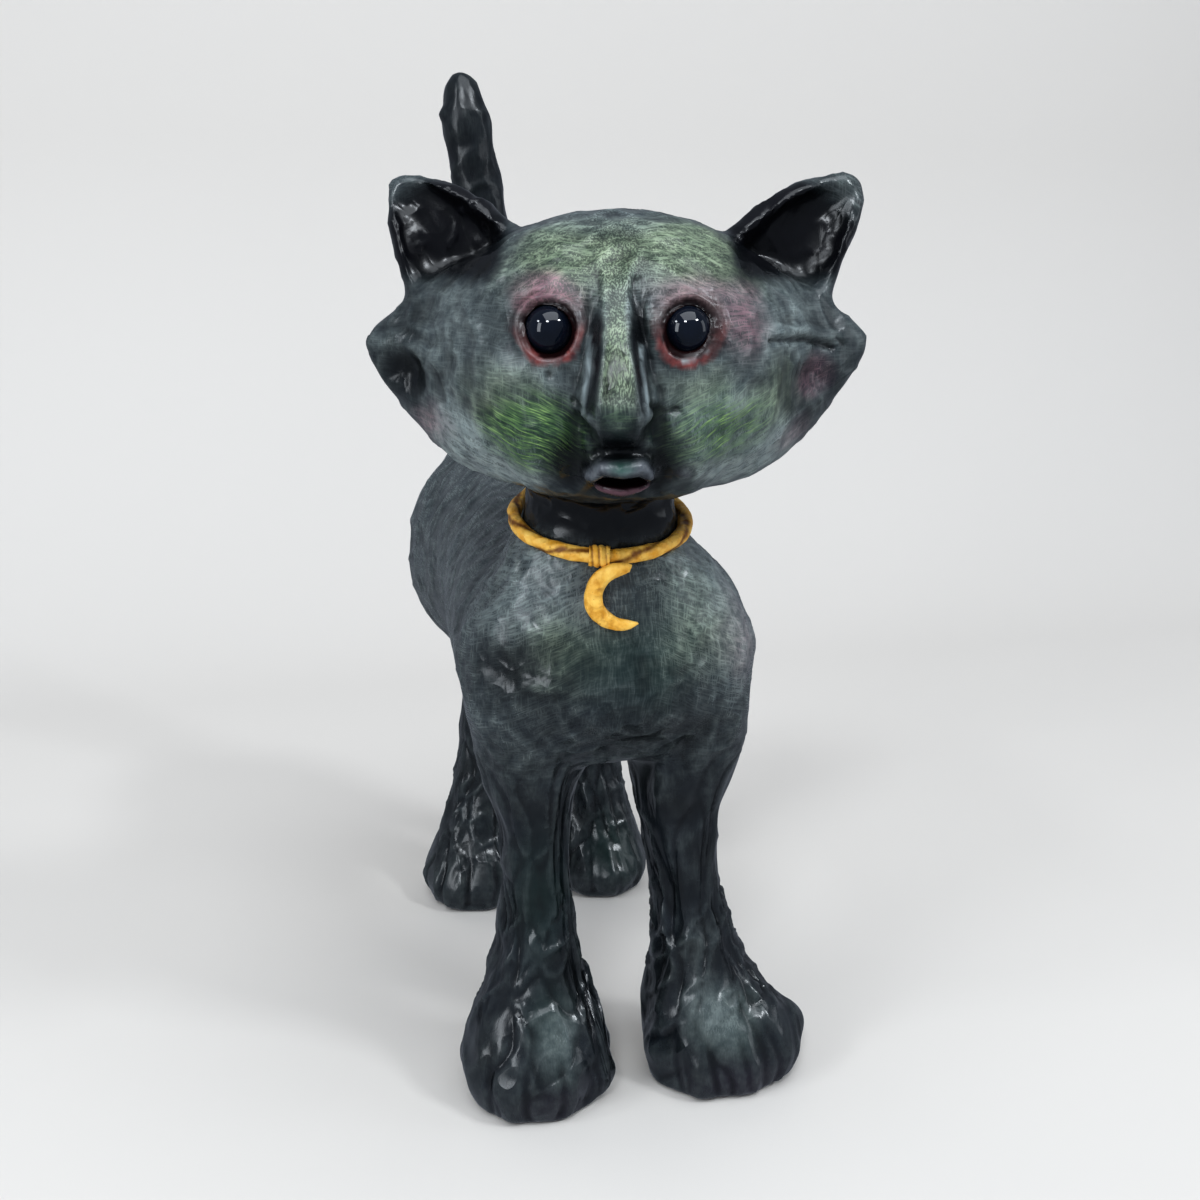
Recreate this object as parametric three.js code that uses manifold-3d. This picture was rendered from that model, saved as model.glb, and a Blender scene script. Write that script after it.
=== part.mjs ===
// A papier-mache cat standing on four legs, with glass eyes, a twisted paper collar and a moon pendant.
// Millimetres, +Z up. The body lies along Y with the head towards -Y, and the face turns towards -X.
import * as THREE from "three";
import Module from "manifold-3d";
import { mergeVertices } from "three/addons/utils/BufferGeometryUtils.js";

const wasm = await Module();
wasm.setup();

// Driving sizes and places
const HEAD_CENTRE = new THREE.Vector3(-1.9, -105.6, 292.5);
const HEAD_TURN = THREE.MathUtils.degToRad(-13);
const HEAD_HALF_WIDTH = 87;
const TAIL_TIP_HEIGHT = 409;
const EYE_RADIUS = 7.6;
const EYE_SPACING = 42;
const EYE_HEIGHT = 12.5;
const EYE_DEPTH = -42;
const SOCKET_DISH_RADIUS = 13;
const SOCKET_DISH_DEPTH = -57;
const COLLAR_CENTRE = new THREE.Vector3(-3.4, -87.6, 234.2);
const COLLAR_RADIUS = 31;
const COLLAR_TILT = THREE.MathUtils.degToRad(14.5);
const CORD_RADIUS = 2.55;
const STRAND_SWELL = 0.09;
const CORD_TURNS = 12;
const MOON_CENTRE = new THREE.Vector3(-4.2, -122, 213);
const MOON_RADIUS = 9.3;
const MOON_HALF_WIDTH = 3.2;
const MOON_FLATNESS = 0.8;
const MOON_TIP_SHARE = 0.4;
const MOON_TIP_FLARE = 1.6;
const FIT_GAP = 0.3;
const DOME_TURN = THREE.MathUtils.degToRad(85);
const EYE_SEGMENTS = 12;

const X = new THREE.Vector3(1, 0, 0);
const Y = new THREE.Vector3(0, 1, 0);
const Z = new THREE.Vector3(0, 0, 1);

// Rows of sizes: each row is [place along the form, two centre offsets, two half sizes].
// A value between two rows follows a smooth curve through them.
function sizesAt(rows, place) {
  let i = 0;
  while (i < rows.length - 2 && place > rows[i + 1][0]) {
    i += 1;
  }
  const [a, b] = [rows[i], rows[i + 1]];
  const before = rows[Math.max(i - 1, 0)];
  const after = rows[Math.min(i + 2, rows.length - 1)];
  const span = b[0] - a[0];
  const t = (place - a[0]) / span;
  return a.slice(1).map((start, k) => {
    const end = b[k + 1];
    const leave = ((end - before[k + 1]) / (b[0] - before[0])) * span;
    const arrive = ((after[k + 1] - start) / (after[0] - a[0])) * span;
    const bend = 2 * (start - end) + leave + arrive;
    const pull = 3 * (end - start) - 2 * leave - arrive;
    return start + t * (leave + t * (pull + t * bend));
  });
}

// The rings of a form: along its rows, with a rounded dome beyond either end where one is given.
function ringSizes(rows, steps, domes, domeSteps = 3) {
  const first = rows[0][0];
  const last = rows[rows.length - 1][0];
  const rings = [];
  const addDome = (end, reach, order) => {
    for (const k of order) {
      const turn = (k / domeSteps) * DOME_TURN;
      const [c1, c2, h1, h2] = sizesAt(rows, end);
      rings.push([end + reach * Math.sin(turn), c1, c2, h1 * Math.cos(turn), h2 * Math.cos(turn)]);
    }
  };
  const outward = Array.from({ length: domeSteps }, (_, k) => k + 1);
  if (domes[0] > 0) {
    addDome(first, -domes[0], [...outward].reverse());
  }
  for (let i = 0; i <= steps; i += 1) {
    const place = first + ((last - first) * i) / steps;
    rings.push([place, ...sizesAt(rows, place)]);
  }
  if (domes[1] > 0) {
    addDome(last, domes[1], outward);
  }
  return rings;
}

// A closed form with an oval section at each ring. ripple(angle, place) swells or pinches the section.
function loft({ rows, along, across, through, sides, steps, domes = [0, 0], ripple = () => 1 }) {
  const rings = ringSizes(rows, steps, domes);
  const points = [];
  const addPoint = (place, a, b) => {
    const p = along.clone().multiplyScalar(place);
    p.addScaledVector(across, a).addScaledVector(through, b);
    points.push(p.x, p.y, p.z);
  };
  for (const [place, c1, c2, h1, h2] of rings) {
    for (let j = 0; j < sides; j += 1) {
      const angle = (j / sides) * 2 * Math.PI;
      const swell = ripple(angle, place);
      addPoint(place, c1 + h1 * swell * Math.cos(angle), c2 + h2 * swell * Math.sin(angle));
    }
  }
  const startCap = rings.length * sides;
  for (const [place, c1, c2] of [rings[0], rings[rings.length - 1]]) {
    addPoint(place, c1, c2);
  }
  const triangles = [];
  const lastRing = (rings.length - 1) * sides;
  for (let j = 0; j < sides; j += 1) {
    const next = (j + 1) % sides;
    for (let i = 0; i < rings.length - 1; i += 1) {
      const low = i * sides;
      const high = low + sides;
      triangles.push(low + j, low + next, high + next, low + j, high + next, high + j);
    }
    triangles.push(startCap, next, j, startCap + 1, lastRing + j, lastRing + next);
  }
  return facingOut(points, triangles);
}

// A geometry whose triangles all face out, whichever way round its rings were wound.
function facingOut(points, triangles) {
  const at = (i) => new THREE.Vector3().fromArray(points, 3 * i);
  let volume = 0;
  for (let i = 0; i < triangles.length; i += 3) {
    volume += at(triangles[i]).dot(at(triangles[i + 1]).cross(at(triangles[i + 2])));
  }
  if (volume < 0) {
    triangles.reverse();
  }
  const geometry = new THREE.BufferGeometry();
  geometry.setAttribute("position", new THREE.Float32BufferAttribute(points, 3));
  geometry.setIndex(triangles);
  return geometry;
}

function solidOf(geometry) {
  const bare = geometry.clone();
  bare.deleteAttribute("normal");
  bare.deleteAttribute("uv");
  const merged = mergeVertices(bare, 1e-4);
  return new wasm.Manifold(new wasm.Mesh({
    numProp: 3,
    vertProperties: new Float32Array(merged.attributes.position.array),
    triVerts: new Uint32Array(merged.index.array),
  }));
}

function geometryOf(solid) {
  const mesh = solid.getMesh();
  const geometry = new THREE.BufferGeometry();
  geometry.setAttribute("position", new THREE.BufferAttribute(mesh.vertProperties, 3));
  geometry.setIndex(new THREE.BufferAttribute(mesh.triVerts, 1));
  geometry.computeVertexNormals();
  return geometry;
}

// Places the head and everything on it: its own frame has X to its left, -Y out of the face and Z up.
const headFrame = new THREE.Matrix4().makeRotationZ(HEAD_TURN).setPosition(HEAD_CENTRE);

function eyePlace(side) {
  return new THREE.Vector3((side * EYE_SPACING) / 2, EYE_DEPTH, EYE_HEIGHT).applyMatrix4(headFrame);
}

// Body. Rows along Y: [y, centre x, centre z, half width, half height].
function torso() {
  const rows = [
    [-80, 0.5, 184, 57, 44],
    [-50, 0.5, 185, 57, 46],
    [0, 0, 188, 51, 48],
    [45, 0, 187, 53.5, 54.5],
    [86, 0, 183.5, 59.5, 61.5],
  ];
  return loft({ rows, along: Y, across: X, through: Z, sides: 20, steps: 8, domes: [30, 57] });
}

// Chest and neck, one egg that narrows up to the collar. Rows up: [z, centre x, centre y, half width, half depth].
function chestAndNeck() {
  const rows = [
    [154, 0.5, -82, 47, 30],
    [167, 0.5, -84.5, 55, 35],
    [184, 0.3, -85, 57.5, 36.5],
    [203, -0.6, -84.5, 50.5, 36],
    [220, -1.8, -85.5, 38, 32],
    [232, -2.5, -87, 29.5, 28.5],
    [242, -2.8, -89, 27, 27],
    [266, -3, -97, 27, 27],
  ];
  return loft({ rows, along: Z, across: X, through: Y, sides: 20, steps: 11, domes: [14, 0] });
}

// A leg with its paw as one tapering column, flat under the sole.
// Rows down the leg: [z, centre x, centre y, half width, half depth], lowest first.
const FRONT_RIGHT_LEG = [
  [0, -30, -87, 27, 26],
  [6, -29.5, -87.5, 31, 30],
  [18, -28.6, -86, 32, 30.5],
  [33, -28.8, -84.5, 26.5, 26],
  [47, -28.5, -82.5, 19.8, 21],
  [62, -28.7, -81.5, 15.9, 17.5],
  [80, -28.2, -81, 14.4, 16],
  [112, -28, -80.5, 14.5, 16],
  [140, -31, -80.5, 20.5, 24],
  [172, -27, -79, 28, 33],
];
const FRONT_LEFT_LEG = [
  [0, 46, -90, 30, 24],
  [6, 47, -90.5, 34.5, 28],
  [16, 47.5, -88.5, 35, 29],
  [29, 44.5, -86, 28.5, 26.5],
  [50, 38, -82, 18.8, 20],
  [72, 35, -80.5, 15.4, 16.5],
  [103, 29.5, -80, 14.8, 16],
  [115, 29.5, -79.5, 16.5, 17],
  [140, 32.5, -79.5, 23, 25],
  [172, 29, -78, 29.5, 33],
];
const HIND_RIGHT_LEG = [
  [0, -30.5, 86, 23, 26],
  [7, -31, 86, 27.5, 31],
  [14, -30.5, 87, 27.5, 31],
  [25, -28.5, 89.5, 23.5, 26.5],
  [40, -26, 92.5, 19, 21],
  [65, -23.5, 95, 15.2, 17.5],
  [110, -19.5, 94, 15, 19],
  [150, -20, 92, 22, 30],
];
const HIND_LEFT_LEG = [
  [0, 35.5, 86, 23, 26],
  [7, 36, 86, 27, 30.5],
  [14, 36, 87, 27, 30.5],
  [25, 35, 89.5, 23.5, 26.5],
  [40, 34, 92.5, 19, 21],
  [65, 33.2, 95, 16, 17.5],
  [110, 30, 94, 15, 19],
  [150, 26, 92, 22, 30],
];
const SIDE_TOE = { place: new THREE.Vector3(74.5, -89.5, 17), radius: 10.5 };
const TOE_COUNT = 9;
const TOE_GROOVE = 0.045;
const PAW_HEIGHT = 34;

function leg(rows) {
  // Toes show as shallow lobes round the front of the paw and fade out up the leg.
  const ripple = (angle, z) => {
    const front = Math.max(0, -Math.sin(angle));
    const low = Math.max(0, 1 - z / PAW_HEIGHT);
    return 1 + TOE_GROOVE * front * Math.sqrt(low) * Math.cos(TOE_COUNT * angle);
  };
  return loft({ rows, along: Z, across: X, through: Y, sides: 18, steps: 12, ripple });
}

// The tail stands up from the rump and leans to the side. Rows: [z, centre x, centre y, half width, half depth].
function tail() {
  const rows = [
    [200, 0, 112, 18, 19],
    [240, -3, 124, 15, 16],
    [300, -8.5, 130, 13, 13],
    [350, -13.3, 131, 12.6, 12.6],
    [385, -19, 132, 12.8, 12.8],
    [TAIL_TIP_HEIGHT - 12, -20.8, 132.5, 11, 11],
  ];
  return loft({ rows, along: Z, across: X, through: Y, sides: 12, steps: 11, domes: [0, 12] });
}

// The head is wide, a ball of a face between two pointed cheeks.
// Rows across the head: [x as a share of the half width, centre y, centre z, half depth, half height].
function skull() {
  const half = [
    [0, 0, 1.5, 51, 47.5],
    [0.24, 0, 1, 50, 45.5],
    [0.42, 0.5, -1, 45, 41.8],
    [0.56, 2, -2.5, 35, 35.8],
    [0.7, 7, -2.8, 21, 29.8],
    [0.81, 11, -1.5, 12.5, 22.5],
    [0.9, 11.5, 0.5, 9, 14.5],
    [0.965, 11, 3.5, 6.5, 8],
    [1, 10.5, 4.5, 3, 4],
  ];
  const across = ([share, ...rest], side) => [side * share * HEAD_HALF_WIDTH, ...rest];
  const rows = [
    ...half.slice(1).reverse().map((row) => across(row, -1)),
    ...half.map((row) => across(row, 1)),
  ];
  return loft({ rows, along: X, across: Y, through: Z, sides: 22, steps: 24 });
}

// Full lower face. Rows across: [x, centre y, centre z, half depth, half height], round at both sides.
function muzzle() {
  const rows = [
    [-8, -14, -18, 38, 28.5],
    [8, -14, -18, 38, 28.5],
  ];
  return loft({ rows, along: X, across: Y, through: Z, sides: 20, steps: 2, domes: [38, 38] });
}

// Long straight nose. Rows up the nose: [z, centre x, centre y, half width, half depth].
function nose() {
  const rows = [
    [-21, 0.5, -46, 6, 10],
    [-13, 0.3, -47, 9.6, 18.5],
    [-6, 0.3, -47, 10.2, 19],
    [10, 0, -45, 8, 14],
    [26, 0, -43, 7, 8],
  ];
  return loft({ rows, along: Z, across: X, through: Y, sides: 12, steps: 8, domes: [2, 5] });
}

// Lips and the slit between them. Rows across: [x, centre y, centre z, half depth, half height].
function upperLip() {
  const rows = [
    [-9, -48.5, -29.5, 4, 2.4],
    [-4.5, -51, -26.5, 5.5, 4.2],
    [1, -52, -27, 5.5, 3.8],
    [6.5, -51, -26.5, 5.5, 4.2],
    [11, -48.5, -29.5, 4, 2.4],
  ];
  return loft({ rows, along: X, across: Y, through: Z, sides: 10, steps: 8, domes: [2, 2] });
}

function lowerLip() {
  const rows = [
    [-8, -44, -35.5, 6, 2.2],
    [1, -46, -37, 7, 2.6],
    [10, -44, -35.5, 6, 2.2],
  ];
  return loft({ rows, along: X, across: Y, through: Z, sides: 8, steps: 6, domes: [2, 2] });
}

function mouthSlit() {
  const rows = [
    [-6.5, -49, -31.8, 8, 1.4],
    [1, -50, -32, 10, 2.2],
    [8.5, -49, -31.8, 8, 1.4],
  ];
  return loft({ rows, along: X, across: Y, through: Z, sides: 8, steps: 6, domes: [1.5, 1.5] });
}

// Ears. Rows up from the root: [height, lean outwards, set back, half width, half depth].
const EAR_SHELL = [
  [-14, 2, 0, 23, 14],
  [0, 0, 0, 23.5, 13],
  [19, 2.6, 3, 16.2, 10],
  [31.5, 6.6, 6.5, 9, 6.5],
  [36.5, 9, 8, 4, 3.5],
];
const EAR_HOLLOW = [
  [-1, 0, -9, 18, 14],
  [10, 1.2, -7.5, 15.6, 12],
  [20, 3, -4, 11, 9],
  [29, 6, 0, 5.5, 5.5],
  [32, 7.2, 1.5, 2.5, 3],
];
// The two ears differ a little: [width, height, slope, root].
const EARS = new Map([
  [-1, [1, 1, THREE.MathUtils.degToRad(27), new THREE.Vector3(52.5, 11, 32)]],
  [1, [0.94, 1.12, THREE.MathUtils.degToRad(31), new THREE.Vector3(55, 11, 30)]],
]);

function earForm(rows, side) {
  const form = loft({ rows, along: Z, across: X, through: Y, sides: 13, steps: 6 });
  const [width, height, slope, root] = EARS.get(side);
  form.scale(width, 1, height);
  form.rotateY(slope);
  form.translate(root.x, root.y, root.z);
  if (side > 0) {
    return form;
  }
  const points = Array.from(form.attributes.position.array, (value, i) => (i % 3 === 0 ? -value : value));
  return facingOut(points, Array.from(form.index.array));
}

// A cord bent into a ring, its section turning along the way to show the twist.
function collarRing(radius, twisted) {
  const around = 40;
  const sides = 8;
  const points = [];
  for (let i = 0; i < around; i += 1) {
    const turn = (i / around) * 2 * Math.PI;
    const out = new THREE.Vector3(Math.cos(turn), Math.sin(turn), 0);
    for (let j = 0; j < sides; j += 1) {
      const angle = (j / sides) * 2 * Math.PI;
      const strands = twisted ? 1 + STRAND_SWELL * Math.cos(2 * angle + CORD_TURNS * turn) : 1;
      const p = out.clone().multiplyScalar(COLLAR_RADIUS + radius * strands * Math.cos(angle));
      p.z = radius * strands * Math.sin(angle);
      p.applyAxisAngle(X, COLLAR_TILT).add(COLLAR_CENTRE);
      points.push(p.x, p.y, p.z);
    }
  }
  const triangles = [];
  for (let i = 0; i < around; i += 1) {
    for (let j = 0; j < sides; j += 1) {
      const [a, b] = [i * sides, ((i + 1) % around) * sides];
      const next = (j + 1) % sides;
      triangles.push(a + j, b + j, b + next, a + j, b + next, a + next);
    }
  }
  return facingOut(points, triangles);
}

// Crescent: a thick bow with tapering, slightly spread tips, open towards +X in its own upright plane.
function moon(grow) {
  const from = THREE.MathUtils.degToRad(70);
  const to = THREE.MathUtils.degToRad(304);
  const around = 12;
  const sides = 8;
  const points = [];
  const addPoint = (turn, radius, forward) => {
    const p = new THREE.Vector3(radius * Math.cos(turn), forward, radius * Math.sin(turn));
    p.applyAxisAngle(Z, HEAD_TURN).add(MOON_CENTRE);
    points.push(p.x, p.y, p.z);
  };
  const bowAt = (share) => MOON_RADIUS + MOON_TIP_FLARE * (2 * share - 1) ** 4;
  for (let i = 0; i <= around; i += 1) {
    const share = i / around;
    const turn = from + (to - from) * share;
    const fullness = MOON_TIP_SHARE + (1 - MOON_TIP_SHARE) * Math.sin(Math.PI * share);
    const half = MOON_HALF_WIDTH * fullness + grow;
    for (let j = 0; j < sides; j += 1) {
      const angle = (j / sides) * 2 * Math.PI;
      addPoint(turn, bowAt(share) + half * Math.cos(angle), MOON_FLATNESS * half * Math.sin(angle));
    }
  }
  addPoint(from, bowAt(0), 0);
  addPoint(to, bowAt(1), 0);
  const triangles = [];
  const startCap = (around + 1) * sides;
  const lastRing = around * sides;
  for (let j = 0; j < sides; j += 1) {
    const next = (j + 1) % sides;
    for (let i = 0; i < around; i += 1) {
      const [low, high] = [i * sides, (i + 1) * sides];
      triangles.push(low + j, low + next, high + next, low + j, high + next, high + j);
    }
    triangles.push(startCap, next, j, startCap + 1, lastRing + j, lastRing + next);
  }
  return facingOut(points, triangles);
}

// A band of paper wound round the cord at the front, which the moon hangs from.
const LOOP_ANGLE = THREE.MathUtils.degToRad(-103);
const LOOP_LENGTH = 7;
const LOOP_INNER = CORD_RADIUS * (1 + STRAND_SWELL) + FIT_GAP;
const LOOP_WALL = 0.6;
const LOOP_DIMPLE_RADIUS = 5.2;

function loopPlace() {
  const out = new THREE.Vector3(Math.cos(LOOP_ANGLE), Math.sin(LOOP_ANGLE), 0);
  return out.multiplyScalar(COLLAR_RADIUS).applyAxisAngle(X, COLLAR_TILT).add(COLLAR_CENTRE);
}

function pendantLoop() {
  const profile = new THREE.Path();
  profile.moveTo(LOOP_INNER, -LOOP_LENGTH / 2);
  profile.lineTo(LOOP_INNER + LOOP_WALL * 0.5, -LOOP_LENGTH / 2);
  profile.quadraticCurveTo(LOOP_INNER + LOOP_WALL * 1.6, 0, LOOP_INNER + LOOP_WALL * 0.5, LOOP_LENGTH / 2);
  profile.lineTo(LOOP_INNER, LOOP_LENGTH / 2);
  profile.closePath();
  const band = new THREE.LatheGeometry(profile.getPoints(4), 12);
  band.rotateZ(LOOP_ANGLE);
  band.rotateX(COLLAR_TILT);
  const place = loopPlace();
  return band.translate(place.x, place.y, place.z);
}

function ball(radius, place, segments) {
  const sphere = new THREE.SphereGeometry(radius, segments, Math.round(segments * 0.7));
  return sphere.translate(place.x, place.y, place.z);
}

// The one papier-mache piece: every form joined, then the hollows cut.
function catFigure() {
  let head = solidOf(skull());
  for (const form of [muzzle(), nose(), upperLip(), lowerLip()]) {
    head = head.add(solidOf(form));
  }
  for (const side of [-1, 1]) {
    head = head.add(solidOf(earForm(EAR_SHELL, side)));
    head = head.subtract(solidOf(earForm(EAR_HOLLOW, side)));
    const dish = new THREE.Vector3((side * EYE_SPACING) / 2, SOCKET_DISH_DEPTH, EYE_HEIGHT);
    head = head.subtract(solidOf(ball(SOCKET_DISH_RADIUS, dish, 16)));
  }
  head = head.subtract(solidOf(mouthSlit()));
  const headGeometry = geometryOf(head).applyMatrix4(headFrame);
  let figure = solidOf(headGeometry);
  const legs = [
    leg(FRONT_RIGHT_LEG),
    leg(FRONT_LEFT_LEG),
    leg(HIND_RIGHT_LEG),
    leg(HIND_LEFT_LEG),
    ball(SIDE_TOE.radius, SIDE_TOE.place, 10),
  ];
  for (const form of [torso(), chestAndNeck(), tail(), ...legs]) {
    figure = figure.add(solidOf(form));
  }
  for (const side of [-1, 1]) {
    figure = figure.subtract(solidOf(ball(EYE_RADIUS + FIT_GAP, eyePlace(side), EYE_SEGMENTS)));
  }
  figure = figure.subtract(solidOf(collarRing(CORD_RADIUS * (1 + STRAND_SWELL) + FIT_GAP, false)));
  figure = figure.subtract(solidOf(ball(LOOP_DIMPLE_RADIUS, loopPlace(), 12)));
  figure = figure.subtract(solidOf(moon(FIT_GAP)));
  return geometryOf(figure);
}

function piece(name, geometry, color, roughness) {
  const material = new THREE.MeshStandardMaterial({ color, roughness, metalness: 0 });
  const mesh = new THREE.Mesh(geometry, material);
  mesh.name = name;
  return mesh;
}

const cat = new THREE.Group();
cat.add(piece("cat_figure", catFigure(), 0x31383a, 0.42));
cat.add(piece("right_eye", ball(EYE_RADIUS, eyePlace(-1), EYE_SEGMENTS), 0x08090b, 0.05));
cat.add(piece("left_eye", ball(EYE_RADIUS, eyePlace(1), EYE_SEGMENTS), 0x08090b, 0.05));
cat.add(piece("collar", collarRing(CORD_RADIUS, true), 0xc9952e, 0.55));
cat.add(piece("pendant_loop", pendantLoop(), 0xc9952e, 0.55));
cat.add(piece("moon_pendant", moon(0), 0xd6a233, 0.5));

// The origin is under the middle of the whole cat.
const extent = new THREE.Box3().setFromObject(cat);
const middle = extent.getCenter(new THREE.Vector3());
cat.position.set(-middle.x, -middle.y, -extent.min.z);

export default cat;
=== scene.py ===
import math

import bmesh
import bpy
import numpy as np
from mathutils import Matrix, Vector


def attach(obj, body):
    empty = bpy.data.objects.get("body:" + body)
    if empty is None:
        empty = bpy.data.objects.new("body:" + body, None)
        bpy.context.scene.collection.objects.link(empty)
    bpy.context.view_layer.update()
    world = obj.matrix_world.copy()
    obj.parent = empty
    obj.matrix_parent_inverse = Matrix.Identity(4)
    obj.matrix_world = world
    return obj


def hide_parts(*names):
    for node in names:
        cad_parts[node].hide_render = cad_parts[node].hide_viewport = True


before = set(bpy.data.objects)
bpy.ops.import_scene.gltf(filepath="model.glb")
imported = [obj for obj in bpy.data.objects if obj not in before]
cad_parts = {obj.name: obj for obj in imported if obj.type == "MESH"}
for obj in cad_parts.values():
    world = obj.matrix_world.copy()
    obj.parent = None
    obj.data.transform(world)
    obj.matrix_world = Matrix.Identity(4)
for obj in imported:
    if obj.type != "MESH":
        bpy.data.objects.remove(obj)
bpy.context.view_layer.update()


# The cat's figure
# One hand-built papier-mache body: strips of pasted paper over a form, wrinkled along the legs and paws,
# painted nearly black, dry-brushed with grey, green and rose, and varnished satin.
HEAD_CENTRE = np.array([-2.75, -92.7, 292.5])
HEAD_TURN = math.radians(-13)
HEAD_HALF_SIZE = np.array([95, 64, 70])
NECK_LOW, NECK_HIGH = 246, 252
SKIN_STEP = 0.0011
SOFTENING_ROUNDS = 90
FIGURE_TRIANGLES = 190000
EYE_SEAT = 7.72
CORD_SEAT = 3.0
EYES = [np.array([-21.0, -42.0, 12.5]), np.array([21.0, -42.0, 12.5])]
COLLAR_CENTRE = np.array([-4.25, -74.7, 234.2])
COLLAR_RADIUS = 31.0
COLLAR_TILT = math.radians(14.5)
RIDGE_UP = [-20, -14, -8, 10, 26, 36]
RIDGE_HALF = [5.0, 6.6, 6.2, 3.6, 3.6, 6.0]
RIDGE_MIDDLE = [0.2, 0.2, 0.1, -0.7, -0.6, -0.4]
NOSE_EDGES = [[(-9.0, 11), (-9.6, 2), (-10.6, -10), (-11, -14)],
              [(7.4, 8), (7.6, -4), (8.8, -11), (7.8, -17)],
              [(-8.4, -13), (-5.5, -20)], [(6.8, -11), (4.6, -20)]]
UPPER_LIP = [(-8.6, -31.2), (-4.6, -27.8), (1.2, -28.8), (7.2, -27.8), (10.6, -31.2)]
MOUTH_ACROSS, MOUTH_UP = 1.8, -33.2
LEG_TOP = 142.0
LEG_UNROLLED = 20
TOES = (-0.85, -0.3, 0.2, 0.7)
LEG_LINES = [((-30.9, -74.1), (-28.9, -67.6)), ((46.0, -77.0), (28.6, -67.0)),
             ((-31.3, 99.0), (-20.4, 107.0)), ((34.7, 99.0), (29.1, 107.0))]


def merged_mesh(node, name):
    """The solid's mesh, with the corners of its triangles joined up."""
    shape = bmesh.new()
    shape.from_mesh(node.data)
    bmesh.ops.remove_doubles(shape, verts=shape.verts, dist=1e-6)
    mesh = bpy.data.meshes.new(name)
    shape.to_mesh(mesh)
    shape.free()
    return mesh


def shown(name, mesh):
    """Puts a mesh in the scene."""
    thing = bpy.data.objects.new(name, mesh)
    bpy.context.scene.collection.objects.link(thing)
    return thing


def settle_modifiers(thing):
    """Turns what the modifiers show into the piece's own plain mesh."""
    depsgraph = bpy.context.evaluated_depsgraph_get()
    mesh = bpy.data.meshes.new_from_object(thing.evaluated_get(depsgraph))
    thing.modifiers.clear()
    thing.data = mesh
    return mesh


def points_mm(mesh):
    flat = np.empty(len(mesh.vertices) * 3)
    mesh.vertices.foreach_get("co", flat)
    return flat.reshape(-1, 3) * 1000.0


def set_points_mm(mesh, points):
    mesh.vertices.foreach_set("co", (points / 1000.0).ravel())
    mesh.update()


def outward(mesh):
    flat = np.empty(len(mesh.vertices) * 3)
    mesh.vertices.foreach_get("normal", flat)
    return flat.reshape(-1, 3)


def edge_pairs(mesh):
    flat = np.empty(len(mesh.edges) * 2, dtype=np.int64)
    mesh.edges.foreach_get("vertices", flat)
    return flat.reshape(-1, 2)


def neighbour_mean(values, pairs):
    """The mean of each point's neighbours along the mesh edges."""
    count = np.bincount(pairs.ravel(), minlength=len(values))
    total = np.empty_like(values)
    for k in range(values.shape[1]):
        total[:, k] = np.bincount(pairs[:, 0], values[pairs[:, 1], k], len(values))
        total[:, k] += np.bincount(pairs[:, 1], values[pairs[:, 0], k], len(values))
    return total / np.maximum(count, 1)[:, None]


def relaxed(points, pairs, weight, rounds):
    """Points drawn towards their neighbours, each by its own weight."""
    for _ in range(rounds):
        points = points + 0.5 * weight[:, None] * (neighbour_mean(points, pairs) - points)
    return points


def lattice(cells, seed):
    """A fixed random value, -1 to 1, for each cell."""
    mixed = cells[:, 0] * 73856093 ^ cells[:, 1] * 19349663 ^ cells[:, 2] * 83492791 ^ seed * 2654435761
    mixed = mixed & 0xFFFFFFFF
    mixed = (mixed ^ (mixed >> 13)) * 1274126177 & 0xFFFFFFFF
    mixed = mixed ^ (mixed >> 16)
    return mixed / 2147483648.0 - 1.0


def lumps(points, size, seed):
    """Smooth random swell, -1 to 1, with lumps of about that size."""
    turned = points @ np.array(Matrix.Rotation(0.7 + seed, 3, Vector((0.3, 0.5, 0.8)))).T / size
    low = np.floor(turned).astype(np.int64)
    share = turned - low
    share = share * share * share * (share * (share * 6 - 15) + 10)
    total = np.zeros(len(points))
    for corner in range(8):
        step = np.array([corner & 1, corner >> 1 & 1, corner >> 2 & 1])
        weight = np.prod(np.where(step, share, 1 - share), axis=1)
        total += weight * lattice(low + step, seed)
    return total


def creases(points, size, seed):
    """Sharp random folds: 1 along a fold, falling to 0 beside it."""
    return (1 - np.abs(lumps(points, size, seed))) ** 3


def ease(low, high, value):
    """0 at low and 1 at high, with a soft run between them."""
    share = np.clip((value - low) / (high - low), 0, 1)
    return share * share * (3 - 2 * share)


def near(points, centre, reach):
    """1 at the centre, easing to 0 at the reach along each axis."""
    offset = (points - np.array(centre)) / np.array(reach)
    return np.clip(1 - np.sum(offset * offset, axis=1), 0, 1) ** 2


def near_path(flat, path, reach):
    """1 on a path drawn on the face, easing to 0 at the reach."""
    best = np.full(len(flat), 1e9)
    for start, end in zip(path[:-1], path[1:]):
        start, end = np.array(start, float), np.array(end, float)
        run = end - start
        share = np.clip((flat - start) @ run / (run @ run), 0, 1)
        best = np.minimum(best, np.linalg.norm(flat - start - share[:, None] * run, axis=1))
    return np.clip(1 - (best / reach) ** 2, 0, 1) ** 2


def head_axes():
    """The head's turn to the cat's right, as axes."""
    return np.array(Matrix.Rotation(HEAD_TURN, 3, "Z"))


def in_head(points):
    """The same places in the head's own frame: x to its left, -y out of the face, z up from its middle."""
    return (points - HEAD_CENTRE) @ head_axes()


def from_head(places):
    """Places in the head's own frame, back in the cat's."""
    return places @ head_axes().T + HEAD_CENTRE


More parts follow.
